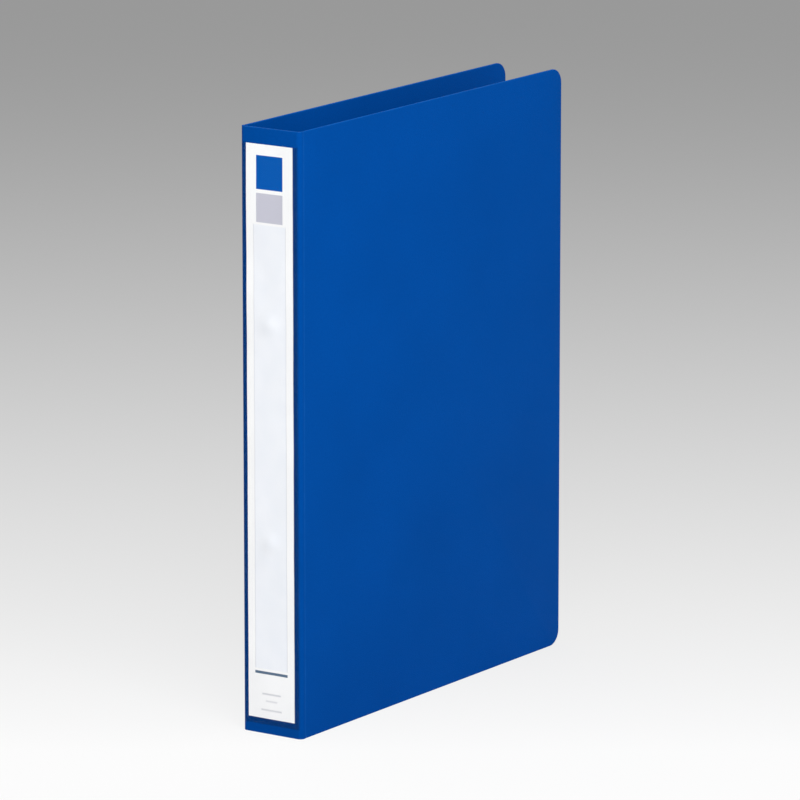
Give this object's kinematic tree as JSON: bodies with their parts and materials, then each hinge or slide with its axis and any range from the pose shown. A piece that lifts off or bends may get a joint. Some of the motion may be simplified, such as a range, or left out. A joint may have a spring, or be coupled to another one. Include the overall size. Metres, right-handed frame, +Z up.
{
  "type": "ring binder",
  "caption": "Upright plastic ring binder for A4 sheets: hinged covers, labelled spine with a clear pocket, and a riveted lever-operated ring mechanism inside.",
  "frame": {"origin": "middle of the base, on the surface that the binder stands on", "axes": "+Z up the spine, +X from the spine to the fore-edge, +Y from the front cover to the back cover"},
  "size_m": [0.2362, 0.036, 0.307],
  "materials": {
    "cover_plastic": "satin, finely grained blue polypropylene sheet",
    "label_paper": "smooth white paper insert with printed fields",
    "clear_film": "thin clear film",
    "plated_steel": "nickel plated",
    "bright_steel": "plain bright steel"
  },
  "bodies": {
    "spine": {"spine_panel": "cover_plastic", "spine_label": "label_paper", "label_pocket": "clear_film", "ring_housing": "plated_steel", "upper_rivet": "plated_steel", "lower_rivet": "plated_steel", "upper_lever_pin": "bright_steel", "lower_lever_pin": "bright_steel"},
    "front_cover": {"front_cover": "cover_plastic"},
    "back_cover": {"back_cover": "cover_plastic"},
    "front_rings": {"front_carrier": "bright_steel", "upper_ring_front": "plated_steel", "lower_ring_front": "plated_steel"},
    "back_rings": {"back_carrier": "bright_steel", "upper_ring_back": "plated_steel", "lower_ring_back": "plated_steel"},
    "upper_lever": {"upper_lever": "plated_steel"},
    "lower_lever": {"lower_lever": "plated_steel"}
  },
  "joints": [
    {"name": "front_cover_hinge", "type": "hinge", "parent": "spine", "child": "front_cover", "pos_m": [-0.11342, -0.018, 0.1535], "axis": [0, 0, -1], "range_deg": [-4, 180]},
    {"name": "back_cover_hinge", "type": "hinge", "parent": "spine", "child": "back_cover", "pos_m": [-0.11342, 0.018, 0.1535], "axis": [0, 0, 1], "range_deg": [-4, 180]},
    {"name": "back_ring_swing", "type": "hinge", "parent": "spine", "child": "back_rings", "pos_m": [-0.11273, 0.0081, 0.1535], "axis": [0, 0, 1], "range_deg": [0, 10]},
    {"name": "front_ring_swing", "type": "hinge", "parent": "spine", "child": "front_rings", "pos_m": [-0.11273, -0.0081, 0.1535], "axis": [0, 0, -1], "range_deg": [0, 10]},
    {"name": "upper_lever_press", "type": "hinge", "parent": "spine", "child": "upper_lever", "pos_m": [-0.11232, 0, 0.2195], "axis": [0, -1, 0], "range_deg": [0, 20]},
    {"name": "lower_lever_press", "type": "hinge", "parent": "spine", "child": "lower_lever", "pos_m": [-0.11232, 0, 0.0875], "axis": [0, 1, 0], "range_deg": [0, 20]}
  ],
  "couplings": [
    {"joint": "front_ring_swing", "follows": "back_ring_swing", "ratio": 1},
    {"joint": "upper_lever_press", "follows": "back_ring_swing", "ratio": 2},
    {"joint": "lower_lever_press", "follows": "back_ring_swing", "ratio": 2}
  ]
}
